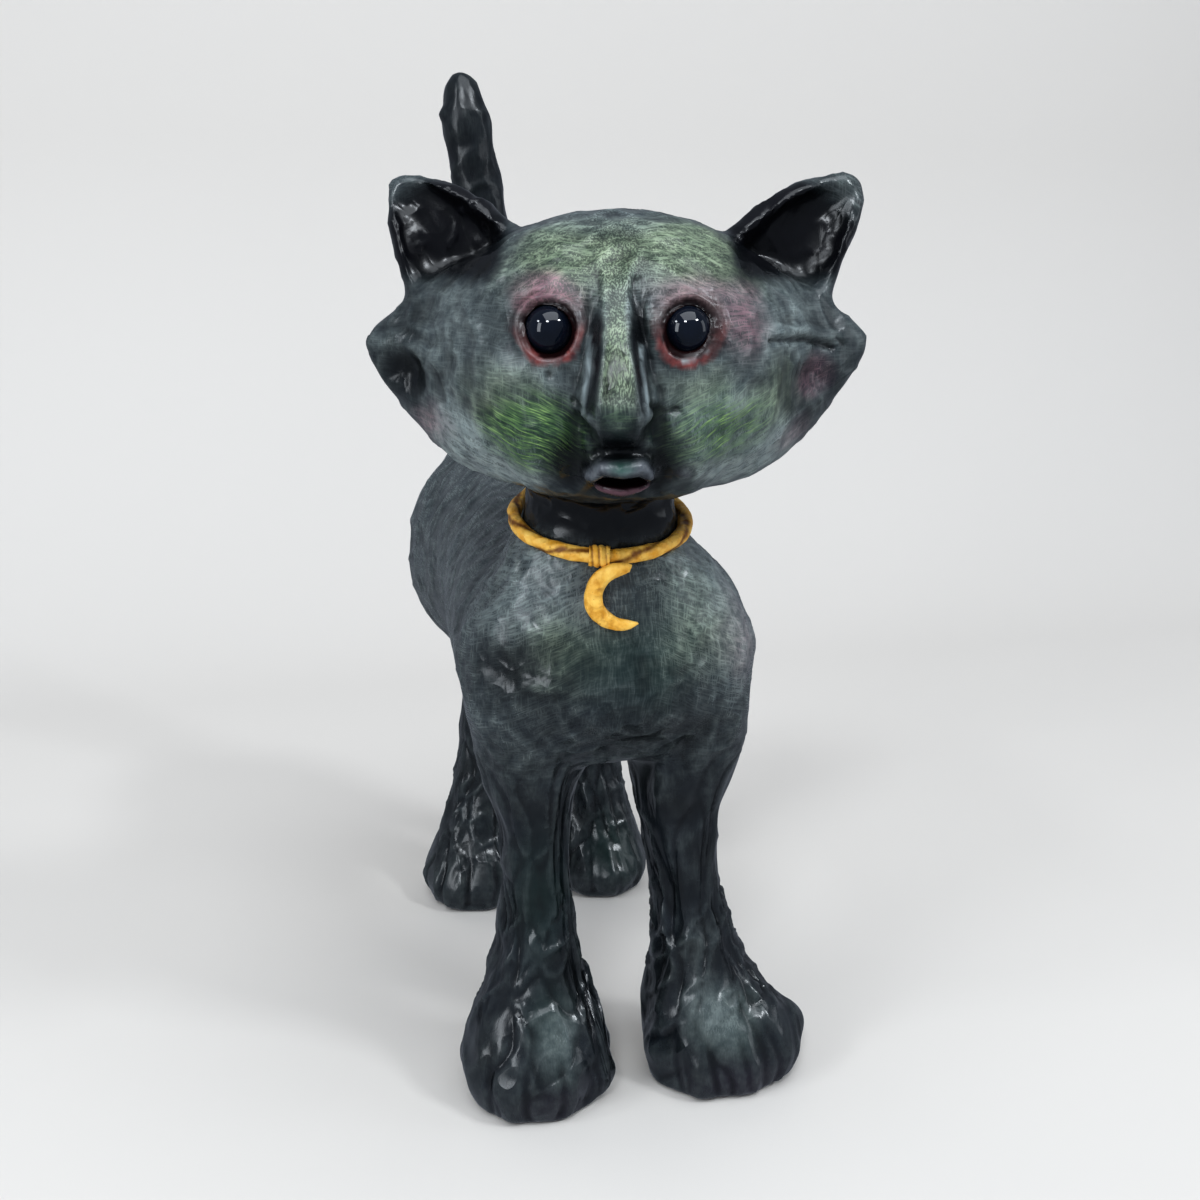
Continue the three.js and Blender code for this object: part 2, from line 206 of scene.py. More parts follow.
def clear_of_collar(points, radius):
    """Moves what reaches into the collar's cord out to the cord's skin."""
    tilt = np.array(Matrix.Rotation(COLLAR_TILT, 3, "X"))
    local = (points - COLLAR_CENTRE) @ tilt
    turn = np.arctan2(local[:, 1], local[:, 0])
    ring = COLLAR_RADIUS * np.c_[np.cos(turn), np.sin(turn), np.zeros(len(turn))]
    offset = local - ring
    reach = np.linalg.norm(offset, axis=1)
    inside = reach < radius
    local[inside] = ring[inside] + offset[inside] * (radius / np.maximum(reach[inside], 1e-6))[:, None]
    points[inside] = local[inside] @ tilt.T + COLLAR_CENTRE
    return points


def head_share(points):
    """1 on the head and 0 on the body, easing over the neck."""
    face = in_head(points)
    ball = np.linalg.norm(face / HEAD_HALF_SIZE, axis=1)
    return ease(NECK_LOW, NECK_HIGH, points[:, 2]) * (1 - ease(0.98, 1.12, ball))


def keep_outside_ball(points, centre, radius):
    """Moves what reaches into a ball out to its skin."""
    offset = points - centre
    reach = np.linalg.norm(offset, axis=1)
    inside = reach < radius
    points[inside] = centre + offset[inside] * (radius / np.maximum(reach[inside], 1e-6))[:, None]
    return points


# The shape: the solid's own form on an even skin, its flat facets melted away,
# least on the lids, the nose, the lips and the ear rims.
cat = shown("papier_mache_cat", merged_mesh(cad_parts["cat_figure"], "papier_mache_cat"))
even_skin = cat.modifiers.new("even_skin", "REMESH")
even_skin.mode = "VOXEL"
even_skin.voxel_size = SKIN_STEP
skin = settle_modifiers(cat)
pairs = edge_pairs(skin)
points = points_mm(skin)
face = in_head(points)
on_head = head_share(points)
on_ears = on_head * ease(30, 38, face[:, 2]) * ease(38, 50, np.abs(face[:, 0]))
on_lips = on_head * near(face, (1, -53, -31), (17, 16, 13))
on_nose = on_head * near(face, (0, -60, 2), (18, 22, 40))
on_lids = on_head * (near(face, EYES[0], (16, 16, 16)) + near(face, EYES[1], (16, 16, 16)))
fine = np.clip(3 * np.maximum(np.maximum(on_lips, on_nose), np.maximum(on_lids, on_ears)), 0, 1)
softness = (1 - 0.45 * on_head) * (1 - 0.4 * ease(150, 110, points[:, 2])) * (1 - 0.95 * fine)
points = relaxed(points, pairs, softness, SOFTENING_ROUNDS)

# The nose: a long straight prism with a flat ridge, crisp edges and a groove down each side.
# The lids are then drawn close round the eyes, and the mouth is pressed narrow.
face = in_head(points)
across, out, up = face.T
brow_curve = -50.8 * np.sqrt(np.clip(1 - ((up - 1.5) / 47) ** 2, 0, 1))
muzzle_curve = -14 - 38 * np.sqrt(np.clip(1 - ((up + 18) / 28.5) ** 2, 0, 1))
bare_face = np.minimum(brow_curve, muzzle_curve)
ridge_half = np.interp(up, RIDGE_UP, RIDGE_HALF)
ridge_out = np.interp(up, [-25, -23, -20, -18, -11, -8, 10, 18, 26, 34, 37],
                      [-50, -52, -58, -61, -65.5, -66, -58.5, -52.5, -45, -37.2, -33.5])
beside = np.abs(across - np.interp(up, RIDGE_UP, RIDGE_MIDDLE)) - ridge_half
prism = ridge_out + 2.1 * np.maximum(beside, 0) - 0.7 * np.clip(1 - (beside / 1.3) ** 2, 0, 1)
groove = 2.0 * np.clip(1 - ((beside - 4.6) / 2.6) ** 2, 0, 1) ** 2 * ease(-14, -6, up) * ease(26, 16, up)
nose_share = on_head * (out < -38) * ease(14, 10.5, np.abs(across)) * ease(-25, -21, up) * ease(37, 30, up)
target = np.minimum(prism, bare_face + groove)
face[:, 1] += nose_share * (target - face[:, 1])
for eye in EYES:
    ring = np.hypot(across - eye[0], up - eye[2])
    lower = on_head * (out < -30) * ease(3, -3, up - eye[2])
    if eye[0] > 0:
        draw = (1.2 + 0.8 * lower) * on_head * (out < -30) * np.clip(1 - ((ring - 9.0) / 3.0) ** 2, 0, 1)
    else:
        draw = 0.9 * lower * np.clip(1 - ((ring - 9.2) / 2.4) ** 2, 0, 1)
    face[:, 0] -= draw * (across - eye[0]) / np.maximum(ring, 1)
    face[:, 2] -= draw * (up - eye[2]) / np.maximum(ring, 1)
mouth_share = on_head * (out < -34) * ease(15, 10, np.abs(across - MOUTH_ACROSS))
mouth_share = mouth_share * ease(8.5, 4.5, np.abs(up - MOUTH_UP))
face[:, 2] += mouth_share * -0.42 * (up - MOUTH_UP)
face[:, 0] += mouth_share * -0.16 * (across - MOUTH_ACROSS)
points = from_head(face)
points = relaxed(points, pairs, 0.35 * nose_share, 4)
set_points_mm(skin, points)

# Modelling with the fingers: lids, cheeks, folds beside the mouth, a hollow in each cheek tuft and a crack
# in the left one, dents in the chest and the flank, and lumps on the tail's tip.
face = in_head(points)
across, out, up = face.T
normals = outward(skin)
flat = face[:, [0, 2]]
in_front = on_head * ease(-8, -20, out)
swell = np.zeros(len(points))
for eye in EYES:
    ring = np.hypot(across - eye[0], up - eye[2])
    upper = ease(-4, 5, up - eye[2])
    swell += (0.9 + 0.5 * upper) * in_front * np.clip(1 - ((ring - 9.4 - 0.4 * upper) / 1.9) ** 2, 0, 1) ** 2
    swell -= 0.8 * upper * in_front * np.clip(1 - ((ring - 8.3) / 1.2) ** 2, 0, 1) ** 2
for side in (-1, 1):
    swell += 1.6 * in_front * near(face, (side * 28, -44, -19), (17, 22, 14))
    swell += 1.5 * in_front * near(face, (side * 8.4, -57, -12.5), (4.2, 10, 4.5))
    swell += 1.0 * in_front * near(face, (side * 21, -46, 26), (14, 14, 5))
    fold = [(side * 12, -15), (side * 13.6, -24), (side * 14.2, -34)]
    swell -= 2.6 * in_front * near_path(flat, fold, 5.5)
swell += 1.9 * in_front * near_path(flat, UPPER_LIP, 3.2)
swell += 1.3 * in_front * near(face, (0, -62, -12), (8.5, 12, 7))
for lift, path, reach in (
    (-1.4, [(-7, -24.2), (1.5, -23.6), (9.5, -24)], 2.2),
    (1.2, [(-6, -35.4), (1.5, -36.6), (9.5, -35.2)], 2.0),
    (-1.3, [(10, -8.5), (14, -11.6), (18, -11)], 1.8), (-1.2, [(-13.5, -8), (-10.5, -10)], 1.6),
):
    swell += lift * in_front * near_path(flat, path, reach)
for edge in NOSE_EDGES:
    swell += 0.7 * in_front * ease(-15, -10, up) * near_path(flat, edge, 1.6)
swell -= 1.3 * in_front * near(face, (-21, -50, -0.5), (2.2, 8, 2.2))
swell += 1.4 * on_head * near(face, (21, -44, -32), (3.4, 8, 3.0))
swell -= 4.6 * on_head * near(face, (-74, -4, -5), (12, 14, 11))
swell += 1.6 * on_head * near_path(flat, [(-86, 5), (-74, 6), (-60, 1)], 5) * (out < 8)
swell -= 3.2 * on_head * near(face, (69, -6, -6), (12, 15, 9))
crack = on_head * (out < 6)
swell -= 1.5 * crack * near_path(flat, [(49, 8.4), (56, 8.0), (63, 7.2), (73, 3.6)], 1.5)
swell += 1.0 * crack * near_path(flat, [(50, 11), (63, 10), (74, 6.6)], 3.2)
swell -= 0.9 * crack * near_path(flat, [(74, 6.5), (77, 5)], 1.4)
for lift, middle, reach in (
    (-2.4, (-45, -94, 187), (16, 16, 17)), (1.3, (-30, -101, 180), (12, 12, 3.6)),
    (-1.0, (-54, 63, 190), (9, 6, 6)), (-0.8, (-54, 77, 174), (9, 5, 5)),
    (2.4, (-35, 144, 388), (8, 8, 6)), (1.2, (-24, 136, 380), (9, 8, 9)),
):
    swell += lift * near(points, middle, reach)


# Paper wrinkles: folds run down each leg and fan out over the paw, gentler lumps lie on the body and head.
def leg_flow(points):
    """Places unrolled round each leg and drawn out along it, how far each is a leg's own, and toe clefts."""
    flow = points.copy()
    share = np.zeros(len(points))
    toes = np.zeros(len(points))
    for paw, knee in LEG_LINES:
        middle = np.array(paw) + (np.array(knee) - np.array(paw)) * np.clip(points[:, 2:3] / 110, 0, 1.4)
        away = points[:, :2] - middle
        reach = np.hypot(away[:, 0], away[:, 1])
        turn = np.arctan2(away[:, 0], -away[:, 1])
        mine = ease(58, 42, reach) * ease(165, 120, points[:, 2])
        unrolled = np.c_[
            middle[:, 0] + LEG_UNROLLED * np.sin(turn), middle[:, 1] - LEG_UNROLLED * np.cos(turn),
            LEG_TOP + 0.36 * (points[:, 2] - LEG_TOP - reach + LEG_UNROLLED)]
        flow += mine[:, None] * (unrolled - flow)
        share = np.maximum(share, mine)
        for toe in TOES:
            dip = np.clip(1 - ((turn - toe) / 0.1) ** 2, 0, 1) ** 2
            toes += mine * dip * ease(34, 16, points[:, 2]) * ease(18, 26, reach)
    return flow, share, toes


flow, leg_share, clefts = leg_flow(points)
bent = flow + 5.0 * np.c_[lumps(points, 22, 6), lumps(points, 22, 7), lumps(points, 22, 8)]
folds = leg_share * (
    1.0 * creases(bent, 9, 3) - 1.3 * creases(bent + 40, 10.5, 4) + 1.7 * lumps(bent, 13, 5) + 0.1)
wrist = leg_share * ease(25, 40, points[:, 2]) * ease(95, 70, points[:, 2])
folds += wrist * 1.3 * creases(points @ np.array(Matrix.Rotation(0.8, 3, "Y")) * [1, 1, 0.5], 8, 9)
on_legs = ease(160, 120, points[:, 2])
on_tail = ease(246, 262, points[:, 2]) * ease(70, 90, points[:, 1])
on_body = (1 - on_legs) * (1 - on_head)
swell += folds - (1.0 + 0.7 * lumps(points, 14, 10)) * clefts
swell += on_body * (
    1.0 * lumps(points, 38, 11) + 1.0 * lumps(points, 15, 12) + 0.7 * creases(points, 13, 13) - 0.4)
swell += on_body * 0.4 * creases(points * [1, 1, 0.6], 6.5, 16)
swell += on_tail * (0.5 * lumps(points, 14, 14) + 0.4 * creases(points * [1, 1, 0.3], 7, 15))
quiet = 1 - np.clip(3 * np.maximum(on_lips, np.maximum(on_nose, on_lids)), 0, 1)
swell += on_head * (0.12 + 0.88 * quiet) * (
    0.7 * lumps(points, 24, 21) + 0.7 * creases(points, 9, 22) + 0.4 * lumps(points, 9, 25) - 0.2)
in_ear = on_ears * ease(0.2, -0.3, (normals @ head_axes())[:, 1])
for _ in range(6):
    in_ear = neighbour_mean(in_ear[:, None], pairs)[:, 0]
swell += in_ear * (0.7 * creases(points * [1, 1, 0.6], 9, 23) + 0.4 * lumps(points, 8, 24))
sole = ease(-0.4, -0.8, normals[:, 2]) * ease(6, 3, points[:, 2])
points = points + normals * (swell * (1 - sole))[:, None]
for eye in EYES:
    points = keep_outside_ball(points, from_head(eye[None, :])[0], EYE_SEAT)
points = clear_of_collar(points, CORD_SEAT)
points[:, 2] = np.maximum(points[:, 2], 0)
set_points_mm(skin, points)

thin_out = cat.modifiers.new("thin_out", "DECIMATE")
thin_out.ratio = min(1.0, FIGURE_TRIANGLES / (2 * len(skin.polygons)))
skin = settle_modifiers(cat)
skin.polygons.foreach_set("use_smooth", np.ones(len(skin.polygons), dtype=bool))


# Paint masks, worked out at each point of the finished skin. A dab is written as its strength, its middle
# and its reach, in the head's frame on the head and in the cat's frame elsewhere.
FULL_BEND = 0.12


def dabs(places, rows):
    """Soft dabs of paint, added up."""
    total = np.zeros(len(places))
    for strength, middle, reach in rows:
        total += strength * near(places, middle, reach)
    return total


points = points_mm(skin)
x, y, z = points.T
normals = outward(skin)
pairs = edge_pairs(skin)
on_head = head_share(points)
face = in_head(points)
across, out, up = face.T
flat = face[:, [0, 2]]
shift = np.c_[lumps(points, 9, 31), lumps(points, 9, 32), lumps(points, 9, 33)]
ragged = face + 3.0 * shift
loose = points + 5.0 * np.c_[lumps(points, 17, 34), lumps(points, 17, 35), lumps(points, 17, 36)]
in_front = on_head * ease(2, -14, out)
on_ears = on_head * ease(24, 34, up) * ease(34, 44, np.abs(across))
in_ear = on_ears * ease(0.1, -0.35, (normals @ head_axes())[:, 1])
# How far each point lies in a hollow or on a crest: painted shade goes into the hollows, and the pale paint
# catches on the crests.
bend = np.sum((neighbour_mean(points, pairs) - points) * normals, axis=1)[:, None]
for _ in range(2):
    bend = 0.5 * bend + 0.5 * neighbour_mean(bend, pairs)
bend = bend[:, 0] / FULL_BEND
on_legs = ease(160, 120, z)
on_tail = ease(246, 262, z) * ease(70, 90, y)
chest = (1 - on_head) * ease(-40, -75, y) * ease(140, 165, z)

# Grey, moss green and lime on the high forms; black paint on the ears, legs and tail, and painted shade in
# the hollows and under the head.
ridge_half = np.interp(up, RIDGE_UP, RIDGE_HALF)
ridge_middle = np.interp(up, RIDGE_UP, RIDGE_MIDDLE)
beside = np.abs(across - ridge_middle) - ridge_half + 0.8 * shift[:, 1]
ridge = in_front * (1 - 0.55 * ease(10, 26, up)) * ease(1.2, -1.6, beside)
ridge = ridge * ease(-11, -7, up) * ease(42, 26, up)
forehead = on_head * (1 - on_ears) * near(ragged, (2, -30, 37), (60, 52, 34))
jaw = on_head * dabs(ragged, [(1.0, (-42, -24, -29), (34, 40, 18)), (1.0, (44, -24, -28), (34, 40, 17))])
moss = ridge + on_head * dabs(ragged, [
    (1.3, (-16, -33, 34), (30, 30, 22)), (1.5, (26, -28, 36), (38, 32, 22)),
    (0.8, (52, -24, -8), (28, 28, 14)), (0.7, (-36, -38, -8), (24, 24, 14))])
moss += 0.6 * in_front * near(ragged, (24, -44, -4), (18, 22, 10))
moss += dabs(loose, [(0.8, (-25, -104, 190), (26, 26, 24)), (0.5, (24, -104, 196), (34, 26, 32))])
lime = np.clip(in_front * dabs(ragged, [
    (1.5, (-27, -45, -20), (26, 30, 17)), (0.5, (-1, -63, -12), (8, 12, 6)),
    (0.9, (33, -42, -18), (30, 30, 17))]), 0, 1)
haze = 0.15 - 0.03 * on_head + 0.45 * forehead + 0.44 * ridge + 1.5 * jaw - 0.1 * on_legs - 0.08 * on_tail
haze += 0.05 * (1 - on_head) * ease(-66, -40, y)
haze += on_head * dabs(ragged, [
    (-0.1, (0, -28, 42), (14, 16, 9)), (0.12, (24, -28, 38), (18, 20, 12)),
    (0.5, (-52, -18, -24), (26, 36, 20)), (0.26, (-52, -22, 8), (36, 40, 36)),
    (-0.15, (60, -14, 0), (16, 24, 14)), (0.42, (54, -20, 12), (34, 40, 28))])
haze += in_front * dabs(ragged, [
    (0.5, (24, -44, -4), (24, 24, 14)), (0.42, (-27, -44, -3), (26, 24, 12)),
    (1.15, (38, -40, -18), (30, 30, 19))])
# The last two dabs, on the front paws' tops, are dry-brushing and a painted highlight in one.
haze += dabs(loose, [
    (0.33, (-34, -92, 212), (44, 40, 38)), (0.6, (38, -90, 206), (46, 42, 50)),
    (-0.08, (0, -105, 172), (70, 34, 36)), (0.25, (35, -86, 62), (9, 14, 20)),
    (0.6, (-26, -98, 36), (18, 20, 20)), (0.72, (40, -95, 36), (20, 20, 20))])
haze = haze * (1 - 0.9 * on_ears)
# Black paint in and on the ears, on the legs and on the tail; the rest is painted shade: under the chin,
# beside the mouth, under the nose, down the nose grooves, on the neck under the head, in the right tuft's
# hollow and in the chest's dent.
dark_paint_and_shade = in_ear + on_ears + 0.3 * on_legs + 0.6 * on_tail + 0.5 * on_head * ease(-38, -45, up)
dark_paint_and_shade += in_front * dabs(face, [
    (1.0, (0, -50, -33), (28, 28, 16)), (1.0, (-16, -48, -26), (10, 20, 13)),
    (0.5, (16, -48, -25), (9, 20, 13)), (1.0, (0, -62, -20), (14, 16, 7))])
dark_paint_and_shade += 0.9 * in_front * near_path(flat, [(-6.6, 16), (-6.8, 6), (-8.4, -9)], 2.7)
dark_paint_and_shade += 0.9 * in_front * near_path(flat, [(6.2, 18), (6.2, 4), (8, -9)], 3.0)
dark_paint_and_shade += 2.0 * (1 - on_head) * near(points, (-4, -84, 244), (52, 52, 22))
dark_paint_and_shade += 0.8 * on_head * near(ragged, (-74, -2, -5), (14, 16, 13))
dark_paint_and_shade += 0.6 * near(loose, (-45, -94, 188), (22, 20, 21))
dark_paint_and_shade = np.clip(dark_paint_and_shade, 0, 1) * (1 - 0.95 * ridge)

# Rose on the brows and tufts, red rims round the eyes with painted shade in the sockets, painted highlights
# on the nose's edges and under the left eye, the lips.
rose = in_front * dabs(ragged, [
    (1.2, (-22, -45, 24), (17, 18, 8)), (0.68, (23, -45, 25), (19, 18, 8)),
    (0.8, (39, -37, 15), (15, 22, 15))])
rose += on_head * dabs(ragged, [
    (0.5, (-62, -8, -22), (16, 22, 10)), (0.4, (60, -10, -24), (18, 22, 9)),
    (0.6, (66, -6, -5), (13, 18, 9))])
rose += 0.35 * near(loose, (44, -86, 190), (18, 26, 24))
rim = np.zeros(len(points))
# The socket mask is painted shade: the shadow under each upper lid and a thin dark crevice round each ball,
# with a dark red band on the outer side.
socket = np.zeros(len(points))
smudged = 0.5 + 0.5 * ease(-0.6, 0.3, lumps(points, 6, 39))
for eye in EYES:
    side = ease(1, 9, (across - eye[0]) * np.sign(eye[0]))
    upper = ease(-4, 4, up - eye[2])
    ring = np.hypot(across - eye[0], up - eye[2])
    ring += 0.9 * shift[:, 0] + 0.5 * lumps(points, 3, 37)
    reddened = ease(10.7 + 3.0 * upper + 1.0 * side, 9.8 + 1.0 * upper + 0.4 * side, ring)
    rim = np.maximum(rim, in_front * (1 - 0.8 * upper) * smudged * reddened)
    dark = np.maximum(0.9 * upper * ease(9.4, 8.5, ring), 0.7 * side * ease(12.0, 9.0, ring))
    socket = np.maximum(socket, in_front * np.maximum(dark, ease(8.2, 7.8, ring)))
# Painted highlights: pale lines on the nose's edges and on the left eye's lower lid, where the folds catch
# the light.
painted_edge_highlight = np.zeros(len(points))
for edge in NOSE_EDGES + [[(19, 4.4), (22, 4.8), (26.5, 6.8)]]:
    painted_edge_highlight = np.maximum(painted_edge_highlight, near_path(0.3 * ragged[:, [0, 2]] + 0.7 * flat, edge, 1.3))
painted_edge_highlight = painted_edge_highlight * in_front * ease(-14, -9, up) * (0.45 + 0.55 * ease(-0.4, 0.4, lumps(points, 3.5, 38)))
violet = 0.5 * in_ear + 0.9 * on_head * near(ragged, (69, -5, -5), (13, 16, 11))
violet += on_head * near(face, (21, -44, -32), (4.8, 9, 4.4))
violet += dabs(loose, [
    (0.8, (48, -98, 8), (34, 28, 16)), (0.6, (-30, -95, 8), (32, 28, 14)),
    (0.6, (-14, -106, 212), (12, 14, 14))])
teal = 0.9 * on_ears * (1 - in_ear) + in_front * dabs(face, [
    (1.0, (1.2, -57, -27.5), (6, 10, 4)), (0.7, (0, -62, -14), (8, 12, 7))])
teal += dabs(loose, [
    (1.0, (-27, -96, 40), (18, 18, 26)), (0.9, (42, -94, 34), (20, 18, 18)),
    (0.9, (40, 78, 26), (24, 20, 26)), (0.6, (-30, -86, 90), (18, 20, 44)),
    (0.7, (4, -106, 188), (44, 28, 28))])
mouth = 1.5 * in_front * near_path(flat, [(-4.5, -33.2), (2, -33.4), (8.4, -33.2)], 2.4)
lip = in_front * near_path(flat, [(-6, -35.4), (1.5, -36.4), (9, -35.3)], 1.9)
upper_lip = in_front * near_path(flat, UPPER_LIP, 3.4)

# The way the brush went, how shiny the varnish lies, how crumpled the paper is and how dry the brush was.
upright = np.maximum(np.maximum(on_legs, on_tail), np.maximum(ridge, on_ears))
upright += 0.6 * chest * ease(30, 12, np.abs(x + 4))
upright += 0.8 * in_front * ease(12, 5, np.abs(ragged[:, 0])) * ease(20, 30, up)
low_face, high_face = ease(4, -10, up), ease(16, 26, up)
rising = on_head * (ease(4, 16, across) * low_face + 0.6 * ease(-6, -22, across) * high_face)
rising += 0.8 * chest * ease(-6, -22, x)
falling = on_head * (ease(-4, -16, across) * low_face + 0.6 * ease(6, 22, across) * high_face)
falling += 0.8 * chest * ease(2, 18, x)
lengthways = (1 - on_head) * (1 - on_legs) * (1 - on_tail) * ease(-66, -40, y)
gloss = np.maximum(0.3 * np.maximum(on_ears, dark_paint_and_shade), 0.6 * (1 - on_head) * (1 - 0.7 * on_tail))
gloss = np.maximum(gloss, on_legs * (1 - 0.45 * ease(-20, 20, y)))
crumple = 0.66 - 0.2 * ease(-40, 0, y) + 0.44 * on_legs - 0.3 * on_tail - 0.4 * on_ears
crumple -= 0.2 * in_front * ease(-30, -42, out)
brushed = 0.42 + 0.08 * (1 - on_head) + 0.9 * forehead + 0.6 * ridge + 0.7 * jaw + 0.6 * lime
brushed += 0.1 * chest - 0.3 * on_legs
for name, values in dict(
    crumple=crumple, brushed=brushed, haze=haze, moss=moss, lime=lime, dark_paint_and_shade=dark_paint_and_shade, rose=rose, rim=rim,
    socket=socket, painted_edge_highlight=painted_edge_highlight, violet=violet, teal=teal, mouth=mouth, lip=lip, upper_lip=upper_lip,
    upright=upright, rising=rising, falling=falling, lengthways=lengthways, gloss=gloss, hollow_shade=bend,
    crest=-bend,
).items():
    layer = skin.attributes.new(name, "FLOAT", "POINT")
    layer.data.foreach_set("value", np.clip(values, 0, 1).astype(np.float32))
layer = skin.attributes.new("flow", "FLOAT_VECTOR", "POINT")
layer.data.foreach_set("vector", leg_flow(points)[0].ravel().astype(np.float32))


# Varnished dry-brushed papier-mache: near-black acrylic with paler paint dragged over it in short strokes,
# so bristle lines and high folds catch colour, under a satin varnish that gives soft sheen and small glints.
def linear(code):
    """A colour written as sRGB hex, as the linear values that shaders use."""
    parts = [int(code[k:k + 2], 16) / 255 for k in (1, 3, 5)]
    return [c / 12.92 if c <= 0.04045 else ((c + 0.055) / 1.055) ** 2.4 for c in parts] + [1.0]


def node(tree, kind, inputs=(), **settings):
    """Adds one node, with its settings, its values and its links."""
    made = tree.nodes.new(kind)
    for name, value in settings.items():
        setattr(made, name, value)
    for socket, value in dict(inputs).items():
        if isinstance(value, bpy.types.NodeSocket):
            tree.links.new(value, made.inputs[socket])
        else:
            made.inputs[socket].default_value = value
    return made


def brushed_over(tree, under, paint, amount, bristles):
    """A paint dragged over another: a thin even film, broken up by the bristle strokes."""
    grip = node(tree, "ShaderNodeMath", {0: bristles, 1: 1.15, 2: 0.42}, operation="MULTIPLY_ADD").outputs[0]
    cover = node(tree, "ShaderNodeMath", {0: grip, 1: amount},
                 operation="MULTIPLY", use_clamp=True).outputs[0]
    return node(tree, "ShaderNodeMix", {0: cover, 6: under, 7: paint}, data_type="RGBA").outputs[2], cover


def new_material(name):
    """A material, with its tree, its shader and the place of each point in metres."""
    made = bpy.data.materials.new(name)
    made.use_nodes = True
    tree = made.node_tree
    return made, tree, tree.nodes["Principled BSDF"], node(tree, "ShaderNodeTexCoord").outputs["Object"]


varnished, tree, shader, place = new_material("satin_varnished_dry_brushed_papier_mache")
mask = {layer.name: node(tree, "ShaderNodeAttribute", attribute_name=layer.name).outputs["Fac"]
        for layer in skin.attributes if layer.data_type == "FLOAT" and layer.domain == "POINT"}

# Brush strokes: lines as fine as a bristle, level on most of the cat and turned where a mask says so.
BRISTLE = 0.00058
STROKE = 0.008
LONG_STROKE = 0.016
STROKE_SWAY = 0.0042
SLANT = math.radians(26)
sway = node(tree, "ShaderNodeTexNoise", {"Vector": place, "Scale": 1 / 0.014, "Detail": 1.0}).outputs["Color"]
sway = node(tree, "ShaderNodeVectorMath", {0: sway, 1: (0.5, 0.5, 0.5)}, operation="SUBTRACT").outputs[0]
sway = node(tree, "ShaderNodeVectorMath", {0: sway, 1: (STROKE_SWAY, STROKE_SWAY, STROKE_SWAY), 2: place},
            operation="MULTIPLY_ADD").outputs[0]
for way, turn, size in (
    ("level", 0, (STROKE, STROKE, BRISTLE)), ("upright", 0, (BRISTLE, BRISTLE, LONG_STROKE)),
    ("rising", -SLANT, (STROKE, STROKE, BRISTLE)), ("falling", SLANT, (STROKE, STROKE, BRISTLE)),
    ("lengthways", 0, (BRISTLE, STROKE, BRISTLE)),
):
    drawn = node(tree, "ShaderNodeMapping", {"Vector": sway, "Rotation": (0, turn, 0), "Scale": size},
                 vector_type="TEXTURE").outputs[0]
    drawn = node(tree, "ShaderNodeTexNoise", {
        "Vector": drawn, "Scale": 1.0, "Detail": 2.0, "Roughness": 0.65}).outputs["Fac"]
    if way == "level":
        dragged = drawn
    else:
        dragged = node(tree, "ShaderNodeMix", {0: mask[way], 2: dragged, 3: drawn}).outputs[0]
    if way == "upright":
        crossing = node(tree, "ShaderNodeMath", {0: drawn, 1: -0.04}).outputs[0]
strokes = node(tree, "ShaderNodeMath", {0: dragged, 1: crossing}, operation="MAXIMUM").outputs[0]
bristles = node(tree, "ShaderNodeMapRange", {"Value": strokes, "From Min": 0.46, "From Max": 0.59}).outputs[0]
scratch = node(tree, "ShaderNodeMapRange", {"Value": dragged, "From Min": 0.57, "From Max": 0.7}).outputs[0]
streaky = node(tree, "ShaderNodeMapRange", {"Value": dragged, "From Min": 0.42, "From Max": 0.56}).outputs[0]
clouds = node(tree, "ShaderNodeTexNoise", {"Vector": place, "Scale": 1 / 0.022, "Detail": 5.0}).outputs["Fac"]
clouds = node(tree, "ShaderNodeMapRange", {"Value": clouds, "From Min": 0.3, "From Max": 0.7}).outputs[0]
specks = node(tree, "ShaderNodeTexNoise", {"Vector": place, "Scale": 1 / 0.004, "Detail": 3.0}).outputs["Fac"]
specks = node(tree, "ShaderNodeMapRange", {"Value": specks, "From Min": 0.3, "From Max": 0.7}).outputs[0]

# The ground coat, cloudy black with teal and violet washes, and the paints, each in two speckled tones.
ground = node(tree, "ShaderNodeMix", {0: clouds, 6: linear("#05080d"), 7: linear("#111720")},
              data_type="RGBA").outputs[2]
for part, tone in (("teal", "#0d2824"), ("violet", "#221727")):
    ground = node(tree, "ShaderNodeMix", {0: mask[part], 6: ground, 7: linear(tone)},
                  data_type="RGBA").outputs[2]
paint = {}
for name, dark, light in (
    ("grey", "#707b7c", "#929d9b"), ("green", "#6c7c66", "#9cab90"), ("leaf", "#385338", "#628250"),
    ("rose", "#745861", "#9d7c83"), ("red", "#4e2426", "#8f4e4a"), ("pearl", "#43474f", "#8f959b"),
):
    paint[name] = node(tree, "ShaderNodeMix", {0: specks, 6: linear(dark), 7: linear(light)},
                       data_type="RGBA").outputs[2]
pale = node(tree, "ShaderNodeMix", {0: mask["moss"], 6: paint["grey"], 7: paint["green"]},
            data_type="RGBA").outputs[2]
bright = node(tree, "ShaderNodeMix", {0: scratch, 6: paint["leaf"], 7: linear("#8fab6a")},
              data_type="RGBA").outputs[2]
pearl = node(tree, "ShaderNodeMix", {0: mask["teal"], 6: paint["pearl"], 7: linear("#3c6a5d")},
             data_type="RGBA").outputs[2]

